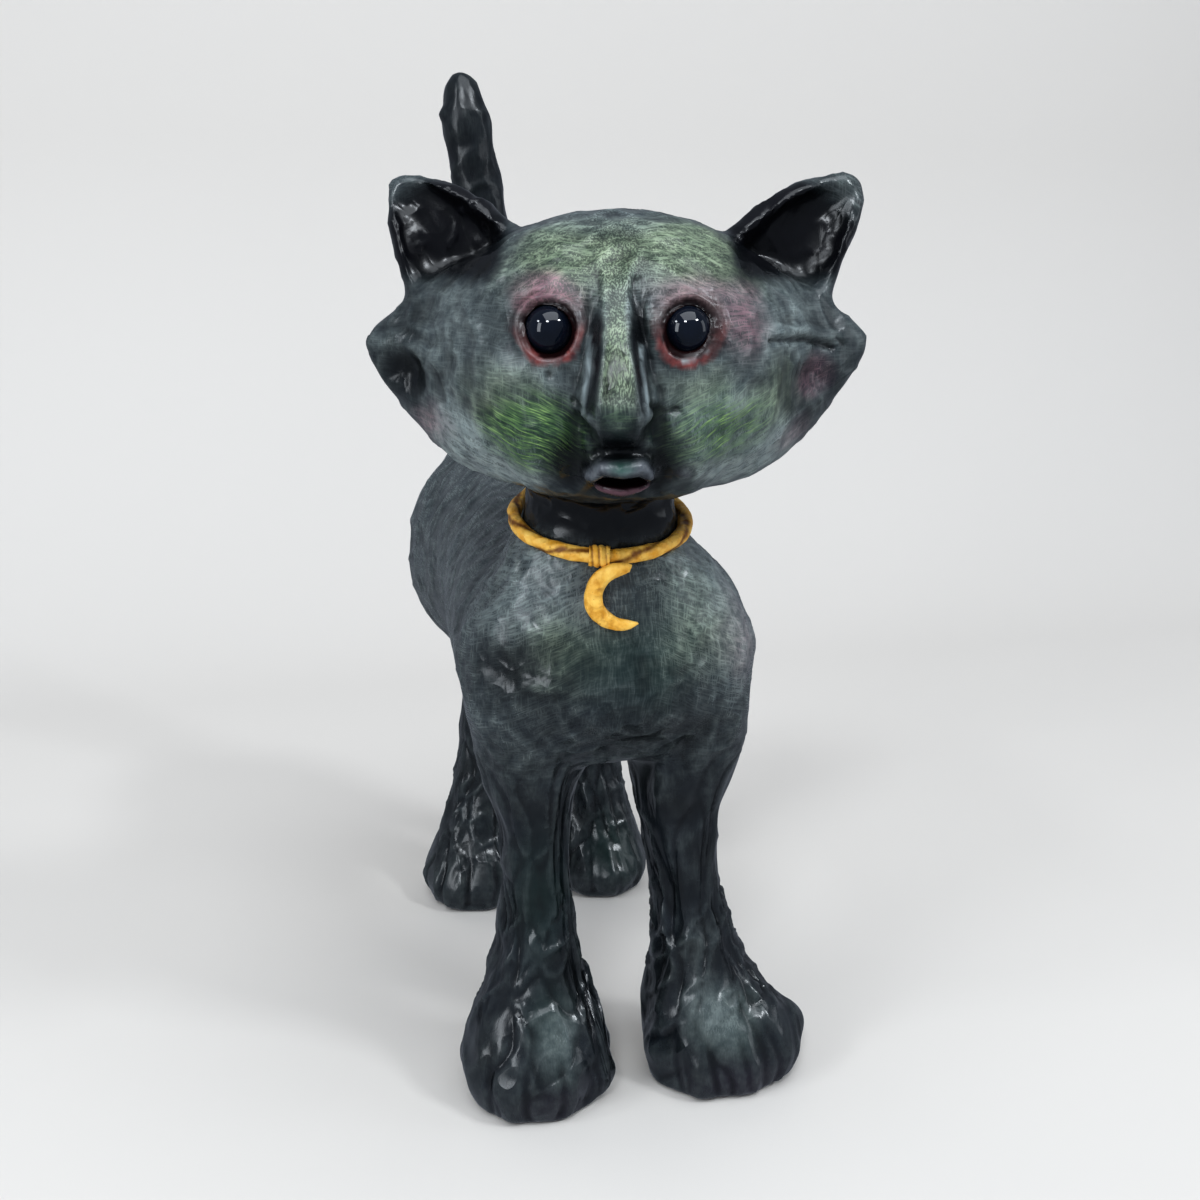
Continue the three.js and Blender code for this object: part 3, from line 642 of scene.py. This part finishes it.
# Pale paint dragged over the ground: it catches on the high folds, lies patchy, and thins out over the black
# paint and the painted shade.
flow = node(tree, "ShaderNodeAttribute", attribute_name="flow").outputs["Vector"]
relief = node(tree, "ShaderNodeTexNoise", {
    "Vector": flow, "Scale": 1 / 15, "Detail": 1.6, "Roughness": 0.45, "Offset": 1.0, "Gain": 1.4},
    noise_type="RIDGED_MULTIFRACTAL").outputs["Fac"]
high = node(tree, "ShaderNodeMapRange", {
    "Value": relief, "From Min": 0.4, "From Max": 1.3, "To Min": 0.88, "To Max": 1.15}).outputs[0]
caught = node(tree, "ShaderNodeMath", {0: mask["haze"], 1: high}, operation="MULTIPLY").outputs[0]
caught = node(tree, "ShaderNodeMath", {0: mask["crest"], 1: 0.14, 2: caught},
              operation="MULTIPLY_ADD").outputs[0]
patchy = node(tree, "ShaderNodeMath", {0: clouds, 1: 0.25, 2: 0.76}, operation="MULTIPLY_ADD").outputs[0]
patchy = node(tree, "ShaderNodeMath", {0: specks, 1: 0.28, 2: patchy}, operation="MULTIPLY_ADD").outputs[0]
thin = node(tree, "ShaderNodeMath", {0: caught, 1: patchy}, operation="MULTIPLY").outputs[0]
clear_of_paint_and_shade = node(tree, "ShaderNodeMath", {0: mask["dark_paint_and_shade"], 1: -0.9, 2: 1.0},
                operation="MULTIPLY_ADD").outputs[0]
thin = node(tree, "ShaderNodeMath", {0: thin, 1: clear_of_paint_and_shade}, operation="MULTIPLY").outputs[0]
faint = node(tree, "ShaderNodeMix", {0: mask["brushed"], 2: 0.5, 3: bristles}).outputs[0]
colour, hazed = brushed_over(tree, ground, pale, thin, faint)

# Lime streaks over a leaf-green wash, rose dusted on, and then the small touches, one over the other.
leafy = node(tree, "ShaderNodeMath", {0: mask["lime"], 1: 0.6}, operation="MULTIPLY").outputs[0]
colour = node(tree, "ShaderNodeMix", {0: leafy, 6: colour, 7: linear("#2a4230")}, data_type="RGBA").outputs[2]
streaky = node(tree, "ShaderNodeMath", {0: streaky, 1: mask["lime"]}, operation="MULTIPLY").outputs[0]
colour = node(tree, "ShaderNodeMix", {0: streaky, 6: colour, 7: bright}, data_type="RGBA").outputs[2]
dusted = node(tree, "ShaderNodeMath", {0: mask["rose"], 1: 0.7}, operation="MULTIPLY").outputs[0]
colour = brushed_over(tree, colour, paint["rose"], dusted, bristles)[0]
# The small touches: red rims, black paint with painted shade, painted edge highlights, painted shade in the
# sockets, the lips and the mouth, and painted shade in every hollow.
for part, strength, over in (
    ("rim", 1.0, paint["red"]), ("dark_paint_and_shade", 0.85, linear("#05070a")), ("painted_edge_highlight", 0.8, linear("#96a2a4")),
    ("socket", 1.0, linear("#1c0809")), ("upper_lip", 0.65, pearl), ("lip", 0.8, linear("#6e4e57")),
    ("mouth", 1.0, linear("#180406")), ("hollow_shade", 0.6, linear("#080a0c")),
):
    cover = node(tree, "ShaderNodeMath", {0: mask[part], 1: strength}, operation="MULTIPLY").outputs[0]
    colour = node(tree, "ShaderNodeMix", {0: cover, 6: colour, 7: over}, data_type="RGBA").outputs[2]
tree.links.new(colour, shader.inputs["Base Color"])

# The varnish, a little duller on dry paint, over paper folds and the ridges of the strokes.
dry = node(tree, "ShaderNodeMath", {0: hazed, 1: 0.08, 2: 0.28}, operation="MULTIPLY_ADD").outputs[0]
satin = node(tree, "ShaderNodeMath", {0: mask["gloss"], 1: -0.05, 2: dry},
             operation="MULTIPLY_ADD").outputs[0]
tree.links.new(satin, shader.inputs["Roughness"])
shader.inputs["IOR"].default_value = 1.47
glazed = node(tree, "ShaderNodeMath", {0: mask["gloss"], 1: 0.28, 2: 0.42},
              operation="MULTIPLY_ADD").outputs[0]
tree.links.new(glazed, shader.inputs["Specular IOR Level"])
folded = node(tree, "ShaderNodeBump", {
    "Height": relief, "Strength": mask["crumple"], "Distance": 0.0016}).outputs[0]
bump = node(tree, "ShaderNodeBump", {
    "Height": strokes, "Strength": 0.3, "Distance": 0.0001, "Normal": folded}).outputs[0]
tree.links.new(bump, shader.inputs["Normal"])
skin.materials.clear()
skin.materials.append(varnished)
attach(cat, "root")
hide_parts("cat_figure")


# Glass eyes
# Two black glass balls, pressed into the sockets while the paste was wet and held by the lids' rims.
# Moulded glass: a deep black with a blue cast, polished so that lamps show in it as small sharp glints.
EYE_RADIUS = 7.6
EYE_ROUND = 64
EYE_POLE = 0.03


def ringed_mesh(name, rings, ring_closes):
    """A skin over rows of points. Each row is a closed ring; the rows join up, or end in two caps."""
    count, sides = rings.shape[:2]
    corners = [tuple(p) for p in rings.reshape(-1, 3) / 1000.0]
    faces = []
    for i in range(count if ring_closes else count - 1):
        for j in range(sides):
            low, high, step = i * sides, (i + 1) % count * sides, (j + 1) % sides
            faces.append((low + j, low + step, high + step, high + j))
    if not ring_closes:
        corners += [tuple(rings[0].mean(axis=0) / 1000.0), tuple(rings[-1].mean(axis=0) / 1000.0)]
        for j in range(sides):
            faces.append((count * sides, (j + 1) % sides, j))
            faces.append((count * sides + 1, (count - 1) * sides + j, (count - 1) * sides + (j + 1) % sides))
    mesh = bpy.data.meshes.new(name)
    mesh.from_pydata(corners, [], faces)
    shape = bmesh.new()
    shape.from_mesh(mesh)
    bmesh.ops.recalc_face_normals(shape, faces=shape.faces)
    shape.to_mesh(mesh)
    shape.free()
    mesh.polygons.foreach_set("use_smooth", np.ones(len(mesh.polygons), dtype=bool))
    return mesh


black_glass, tree, shader, place = new_material("polished_black_glass")
depth_tint = node(tree, "ShaderNodeTexNoise", {
    "Vector": place, "Scale": 1 / 0.006, "Detail": 2.0}).outputs["Fac"]
tint = node(tree, "ShaderNodeMix", {0: depth_tint, 6: linear("#060a12"), 7: linear("#0f1826")},
            data_type="RGBA").outputs[2]
tree.links.new(tint, shader.inputs["Base Color"])
smears = node(tree, "ShaderNodeTexNoise", {"Vector": place, "Scale": 1 / 0.003, "Detail": 3.0}).outputs["Fac"]
smears = node(tree, "ShaderNodeMapRange", {"Value": smears, "To Min": 0.02, "To Max": 0.07}).outputs[0]
tree.links.new(smears, shader.inputs["Roughness"])
shader.inputs["IOR"].default_value = 1.52

for eye, node_name in zip(EYES, ("right_eye", "left_eye")):
    middle = from_head(eye[None, :])[0]
    turns = np.linspace(0, 2 * math.pi, EYE_ROUND, endpoint=False)
    rings = []
    for tip in np.linspace(EYE_POLE, math.pi - EYE_POLE, EYE_ROUND // 2):
        circle = np.c_[
            np.sin(tip) * np.cos(turns), np.full(EYE_ROUND, -np.cos(tip)), np.sin(tip) * np.sin(turns)]
        rings.append(middle + EYE_RADIUS * circle @ head_axes().T)
    ball = shown("glass_" + node_name, ringed_mesh("glass_" + node_name, np.array(rings), False))
    ball.data.materials.append(black_glass)
    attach(ball, "root")
    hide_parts(node_name)


# Collar
# A cord twisted by hand from two strips of ochre-painted paper, laid round the neck and glued shut.
# The twist shows as slanting ridges, with darker brown in the folds between them.
CORD_RADIUS = 2.55
CORD_TURNS = 8
CORD_STEPS = 420
CORD_SIDES = 28
STRAND_SWELL = 0.2
STRAND_CRUMPLE = 0.22
STRAND_WANDER = 0.9

# Ochre acrylic on soft paper: warm and half matt, mottled, darker brown in the folds and flecked.
ochre, tree, shader, place = new_material("ochre_painted_twisted_paper")
fold = node(tree, "ShaderNodeAttribute", attribute_name="fold").outputs["Fac"]
mottle = node(tree, "ShaderNodeTexNoise", {"Vector": place, "Scale": 1 / 0.004, "Detail": 4.0}).outputs["Fac"]
mottle = node(tree, "ShaderNodeMapRange", {"Value": mottle, "From Min": 0.3, "From Max": 0.7}).outputs[0]
fibres = node(tree, "ShaderNodeTexNoise", {
    "Vector": place, "Scale": 1 / 0.0011, "Detail": 3.0}).outputs["Fac"]
gold = node(tree, "ShaderNodeMix", {0: mottle, 6: linear("#dc9c2a"), 7: linear("#f6ca66")},
            data_type="RGBA").outputs[2]
darker_in_folds = node(tree, "ShaderNodeMath", {0: mottle, 1: -0.5, 2: fold}, operation="MULTIPLY_ADD").outputs[0]
darker_in_folds = node(tree, "ShaderNodeMapRange", {"Value": darker_in_folds, "From Min": 0.05, "From Max": 0.75}).outputs[0]
gold = node(tree, "ShaderNodeMix", {0: darker_in_folds, 6: gold, 7: linear("#7d4f1a")}, data_type="RGBA").outputs[2]
fleck = node(tree, "ShaderNodeMapRange", {
    "Value": fibres, "From Min": 0.66, "From Max": 0.78, "To Max": 0.7}).outputs[0]
gold = node(tree, "ShaderNodeMix", {0: fleck, 6: gold, 7: linear("#4f3312")}, data_type="RGBA").outputs[2]
tree.links.new(gold, shader.inputs["Base Color"])
shader.inputs["Roughness"].default_value = 0.5
shader.inputs["IOR"].default_value = 1.47
crease = node(tree, "ShaderNodeTexNoise", {
    "Vector": place, "Scale": 1 / 0.004, "Detail": 1.5, "Offset": 1.0, "Gain": 1.4},
    noise_type="RIDGED_MULTIFRACTAL").outputs["Fac"]
creased = node(tree, "ShaderNodeBump", {"Height": crease, "Strength": 0.6, "Distance": 0.0006}).outputs[0]
grain = node(tree, "ShaderNodeBump", {
    "Height": fibres, "Strength": 0.5, "Distance": 0.0005, "Normal": creased}).outputs[0]
tree.links.new(grain, shader.inputs["Normal"])

twist = bpy.data.node_groups.new("twisted_paper_cord", "GeometryNodeTree")
twist.is_modifier = True
cord_sizes = {"Ring Radius": COLLAR_RADIUS / 1000, "Cord Radius": CORD_RADIUS / 1000,
              "Turns": float(CORD_TURNS), "Swell": STRAND_SWELL, "Crumple": STRAND_CRUMPLE,
              "Wander": STRAND_WANDER}
for name in cord_sizes:
    twist.interface.new_socket(name, in_out="INPUT", socket_type="NodeSocketFloat")
twist.interface.new_socket("Cord", in_out="OUTPUT", socket_type="NodeSocketGeometry")
given = node(twist, "NodeGroupInput").outputs
ring = node(twist, "GeometryNodeCurvePrimitiveCircle", {
    "Resolution": CORD_STEPS, "Radius": given["Ring Radius"]}).outputs["Curve"]
section = node(twist, "GeometryNodeCurvePrimitiveCircle", {
    "Resolution": CORD_SIDES, "Radius": given["Cord Radius"]}).outputs["Curve"]
along = node(twist, "GeometryNodeSplineParameter").outputs["Factor"]
marked_ring = node(twist, "GeometryNodeCaptureAttribute", {"Geometry": ring})
marked_ring.capture_items.new("FLOAT", "Along")
twist.links.new(along, marked_ring.inputs["Along"])
marked_section = node(twist, "GeometryNodeCaptureAttribute", {"Geometry": section})
marked_section.capture_items.new("FLOAT", "Round")
twist.links.new(along, marked_section.inputs["Round"])
cord = node(twist, "GeometryNodeCurveToMesh", {
    "Curve": marked_ring.outputs["Geometry"],
    "Profile Curve": marked_section.outputs["Geometry"]}).outputs["Mesh"]
way = node(twist, "ShaderNodeMath", {0: marked_ring.outputs["Along"], 1: given["Turns"]},
           operation="MULTIPLY").outputs[0]
way = node(twist, "ShaderNodeMath", {0: marked_section.outputs["Round"], 1: 2.0, 2: way},
           operation="MULTIPLY_ADD").outputs[0]
wander = node(twist, "ShaderNodeTexNoise", {"Scale": 1 / 0.014, "Detail": 1.0}).outputs["Fac"]
way = node(twist, "ShaderNodeMath", {0: wander, 1: given["Wander"], 2: way},
           operation="MULTIPLY_ADD").outputs[0]
phase = node(twist, "ShaderNodeMath", {0: way, 1: 2 * math.pi}, operation="MULTIPLY").outputs[0]
wave = node(twist, "ShaderNodeMath", {0: phase}, operation="COSINE").outputs[0]
depth = node(twist, "ShaderNodeMath", {0: wave, 1: -0.5, 2: 0.5}, operation="MULTIPLY_ADD").outputs[0]
depth = node(twist, "ShaderNodeMath", {0: depth, 1: 2.4}, operation="POWER").outputs[0]
crumple = node(twist, "ShaderNodeTexNoise", {"Scale": 1 / 0.005, "Detail": 2.0}).outputs["Fac"]
crumple = node(twist, "ShaderNodeMath", {0: crumple, 1: 0.5}, operation="SUBTRACT").outputs[0]
crumple = node(twist, "ShaderNodeMath", {0: crumple, 1: given["Crumple"]}, operation="MULTIPLY").outputs[0]
rise = node(twist, "ShaderNodeMath", {0: depth, 1: given["Swell"]}, operation="MULTIPLY").outputs[0]
lift = node(twist, "ShaderNodeMath", {0: crumple, 1: rise}, operation="SUBTRACT").outputs[0]
lift = node(twist, "ShaderNodeMath", {0: lift, 1: 0.08}).outputs[0]
lift = node(twist, "ShaderNodeMath", {0: lift, 1: given["Cord Radius"]}, operation="MULTIPLY").outputs[0]
facing = node(twist, "GeometryNodeInputNormal").outputs[0]
push = node(twist, "ShaderNodeVectorMath", {0: facing, "Scale": lift}, operation="SCALE").outputs[0]
cord = node(twist, "GeometryNodeSetPosition", {"Geometry": cord, "Offset": push}).outputs[0]
cord = node(twist, "GeometryNodeStoreNamedAttribute", {"Geometry": cord, "Name": "fold", "Value": depth},
            data_type="FLOAT", domain="POINT").outputs[0]
cord = node(twist, "GeometryNodeTransform", {
    "Geometry": cord, "Translation": COLLAR_CENTRE / 1000, "Rotation": (COLLAR_TILT, 0, 0)}).outputs[0]
cord = node(twist, "GeometryNodeSetShadeSmooth", {"Geometry": cord}).outputs[0]
cord = node(twist, "GeometryNodeRealizeInstances", {"Geometry": cord}).outputs[0]
cord = node(twist, "GeometryNodeSetMaterial", {"Geometry": cord, "Material": ochre}).outputs[0]
node(twist, "NodeGroupOutput", {"Cord": cord})

collar = shown("twisted_collar", bpy.data.meshes.new("twisted_collar"))
maker = collar.modifiers.new("twisted_paper_cord", "NODES")
maker.node_group = twist
for socket in twist.interface.items_tree:
    if socket.in_out == "INPUT":
        maker[socket.identifier] = cord_sizes[socket.name]
settle_modifiers(collar)
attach(collar, "root")
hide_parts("collar")


# Pendant loop
# A narrow strip of the same ochre paper wound round the cord at the throat and glued.
# Its windings stand up as ridges, and the moon hangs close under them.
LOOP_PLACE = np.array([-11.23, -103.94, 226.64])
LOOP_ALONG = np.array([0.974, -0.218, -0.056])
LOOP_HALF_LENGTH = 3.6
LOOP_INNER = 3.02
LOOP_WALL = 0.95
LOOP_SIDES = 56
LOOP_OUTER_ROWS = 28
LOOP_INNER_ROWS = 12
LOOP_WINDINGS = 3


def fold_marks(mesh, values):
    """Marks how far each point lies in a fold, where the colour turns darker brown."""
    layer = mesh.attributes.new("fold", "FLOAT", "POINT")
    layer.data.foreach_set("value", np.clip(values, 0, 1).astype(np.float32))


side_way = np.cross(LOOP_ALONG, [0, 0, 1])
side_way = side_way / np.linalg.norm(side_way)
up_way = np.cross(side_way, LOOP_ALONG)
turns = np.linspace(0, 2 * math.pi, LOOP_SIDES, endpoint=False)
rings, marks = [], []
for k in range(LOOP_OUTER_ROWS + LOOP_INNER_ROWS):
    outer = k < LOOP_OUTER_ROWS
    share = k / (LOOP_OUTER_ROWS - 1) if outer else 1 - (k - LOOP_OUTER_ROWS) / (LOOP_INNER_ROWS - 1)
    ridge_depth = (0.5 - 0.5 * np.cos(share * LOOP_WINDINGS * 2 * math.pi + turns)) ** 2
    height = np.full(LOOP_SIDES, LOOP_INNER)
    if outer:
        height += LOOP_WALL * (1 - 0.45 * ridge_depth) * math.sin(math.pi * (0.08 + 0.84 * share)) ** 0.5
    circle = np.outer(height * np.cos(turns), side_way) + np.outer(height * np.sin(turns), up_way)
    rings.append(LOOP_PLACE + LOOP_ALONG * LOOP_HALF_LENGTH * (2 * share - 1) + circle)
    marks.append(0.8 * ridge_depth if outer else np.ones(LOOP_SIDES))
loop = shown("paper_pendant_loop", ringed_mesh("paper_pendant_loop", np.array(rings), True))
fold_marks(loop.data, np.array(marks).ravel())
loop.data.materials.append(ochre)
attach(loop, "root")
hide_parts("pendant_loop")


# Moon pendant
# A crescent modelled in paper pulp and painted ochre, hung from the loop and resting on the chest.
# Finger-formed, so its faces are a little flat.
MOON_CENTRE = np.array([-5.05, -109.1, 213.0])
MOON_RADIUS = 9.3
MOON_HALF_WIDTH = 3.2
MOON_FLATNESS = 0.8
MOON_TIP_SHARE = 0.4
MOON_BLUNT_TIP_SHARE = 0.62
MOON_TIP_FLARE = 1.6
MOON_SQUARENESS = 0.85
MOON_START = 70
MOON_SWEEP = 234
MOON_STEPS = 72
MOON_SIDES = 36

turns = np.linspace(0, 2 * math.pi, MOON_SIDES, endpoint=False)
rings = []
for share in np.linspace(0, 1, MOON_STEPS):
    bow = math.radians(MOON_START + MOON_SWEEP * share)
    tip = MOON_BLUNT_TIP_SHARE + (MOON_TIP_SHARE - MOON_BLUNT_TIP_SHARE) * share
    half = MOON_HALF_WIDTH * (tip + (1 - tip) * math.sin(math.pi * share))
    half = half * min(1.0, 0.7 + 9 * share, 0.35 + 9 * (1 - share))
    reach = MOON_RADIUS + MOON_TIP_FLARE * (2 * share - 1) ** 4
    reach = reach + half * np.sign(np.cos(turns)) * np.abs(np.cos(turns)) ** MOON_SQUARENESS
    forward = MOON_FLATNESS * half * np.sign(np.sin(turns)) * np.abs(np.sin(turns)) ** MOON_SQUARENESS
    circle = np.c_[reach * math.cos(bow), forward, reach * math.sin(bow)]
    rings.append(MOON_CENTRE + circle @ head_axes().T)
moon = shown("paper_moon", ringed_mesh("paper_moon", np.array(rings), False))
places = points_mm(moon.data)
dents = 0.3 * lumps(places, 4.5, 41) + 0.12 * lumps(places, 1.8, 42)
set_points_mm(moon.data, places + outward(moon.data) * dents[:, None])
fold_marks(moon.data, 0.25 + 0.5 * lumps(places, 5, 43) * (lumps(places, 2, 44) > 0.2))
moon.data.materials.append(ochre)
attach(moon, "root")
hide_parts("moon_pendant")


# Paper sweep
# A sheet of pale studio paper: it lies flat under the cat and curves up behind it.
# Matt paper, an even pale ground with the faintest cast and no shine, so it isn't mirrored in the varnish.
SWEEP_FRONT = -0.6
SWEEP_EDGE = 0.44
SWEEP_CURVE = 0.42
SWEEP_HALF_WIDTH = 3.0
SWEEP_HEIGHT = 2.6
SWEEP_STEPS = 24
profile = [(SWEEP_FRONT, 0.0), (0.0, 0.0)]
for turn in np.linspace(0, math.pi / 2, SWEEP_STEPS):
    profile.append((SWEEP_EDGE + SWEEP_CURVE * math.sin(turn), SWEEP_CURVE * (1 - math.cos(turn))))
profile.append((SWEEP_EDGE + SWEEP_CURVE, SWEEP_HEIGHT))
corners = [(side * SWEEP_HALF_WIDTH, y, z) for y, z in profile for side in (-1, 1)]
panels = [(2 * k, 2 * k + 1, 2 * k + 3, 2 * k + 2) for k in range(len(profile) - 1)]
sheet = bpy.data.meshes.new("paper_sweep")
sheet.from_pydata(corners, [], panels)
sheet.polygons.foreach_set("use_smooth", np.ones(len(panels), dtype=bool))
sweep = shown("paper_sweep", sheet)
sweep.visible_glossy = False
studio_paper, tree, shader, place = new_material("matt_studio_paper")
cast = node(tree, "ShaderNodeTexNoise", {"Vector": place, "Scale": 1.5, "Detail": 1.0}).outputs["Fac"]
cast = node(tree, "ShaderNodeMix", {0: cast, 6: linear("#d2cec9"), 7: linear("#d6d2cd")},
            data_type="RGBA").outputs[2]
tree.links.new(cast, shader.inputs["Base Color"])
shader.inputs["Roughness"].default_value = 0.75
shader.inputs["Specular IOR Level"].default_value = 0.2
sheet.materials.append(studio_paper)


# Camera and light
# The camera stands to the cat's right, level with its head, and looks down on it with a normal lens.
# Soft light comes from a wide ceiling panel, a window on each side and a low fill, and three small lamps
# in front show in the eyes. Lamps give their place, aim, width and height in metres and their watts.
VIEW_PLACE = (-0.1122, -0.5423, 0.335)
VIEW_TURN = math.radians(13)
VIEW_DOWN = math.radians(15.4)
VIEW_LENS = 40.5
FILM_WIDTH = 36
ROOM_LIGHT = 0.26
LAMP_TINT = (0.9, 0.95, 1.0)
look = Vector((math.sin(VIEW_TURN) * math.cos(VIEW_DOWN), math.cos(VIEW_TURN) * math.cos(VIEW_DOWN),
               -math.sin(VIEW_DOWN)))
camera = bpy.data.objects.new("camera", bpy.data.cameras.new("camera"))
camera.data.lens = VIEW_LENS
camera.data.sensor_width = FILM_WIDTH
camera.location = VIEW_PLACE
camera.rotation_mode = "QUATERNION"
camera.rotation_quaternion = look.to_track_quat("-Z", "Y")
bpy.context.scene.collection.objects.link(camera)
bpy.context.scene.camera = camera
bpy.context.scene.view_settings.view_transform = "Standard"
bpy.context.scene.view_settings.look = "Medium High Contrast"

room = bpy.data.worlds.new("soft_room")
room.use_nodes = True
room.node_tree.nodes["Background"].inputs["Color"].default_value = linear("#e6efff")
room.node_tree.nodes["Background"].inputs["Strength"].default_value = ROOM_LIGHT
bpy.context.scene.world = room


def lamp(name, place, aim, width, height, power):
    """A flat soft lamp, aimed at a point."""
    light = bpy.data.lights.new(name, "AREA")
    light.shape = "RECTANGLE"
    light.size = width
    light.size_y = height
    light.energy = power
    light.color = LAMP_TINT
    stand = bpy.data.objects.new(name, light)
    stand.location = place
    stand.rotation_mode = "QUATERNION"
    stand.rotation_quaternion = (Vector(aim) - Vector(place)).to_track_quat("-Z", "Y")
    bpy.context.scene.collection.objects.link(stand)
    return stand


lamp("ceiling", (0.1, -0.75, 2.0), (0.05, -0.2, 0), 1.9, 1.5, 23)
lamp("low_fill", (-0.2, -1.0, 0.15), (0, 0, 0.22), 0.9, 0.3, 1.6).visible_glossy = False
lamp("left_window", (-1.2, -0.75, 0.6), (0, 0, 0.2), 0.4, 0.9, 5)
lamp("right_window", (1.3, -0.5, 0.6), (0, 0, 0.2), 0.4, 0.9, 1.6)
lamp("lamp_left", (-1.9, -0.55, 1.7), (0, 0, 0.25), 0.4, 0.25, 6)
lamp("lamp_front", (-0.7, -1.75, 1.9), (0, 0, 0.25), 0.4, 0.25, 13)
lamp("lamp_right", (1.35, -1.3, 1.9), (0, 0, 0.25), 0.4, 0.25, 15)
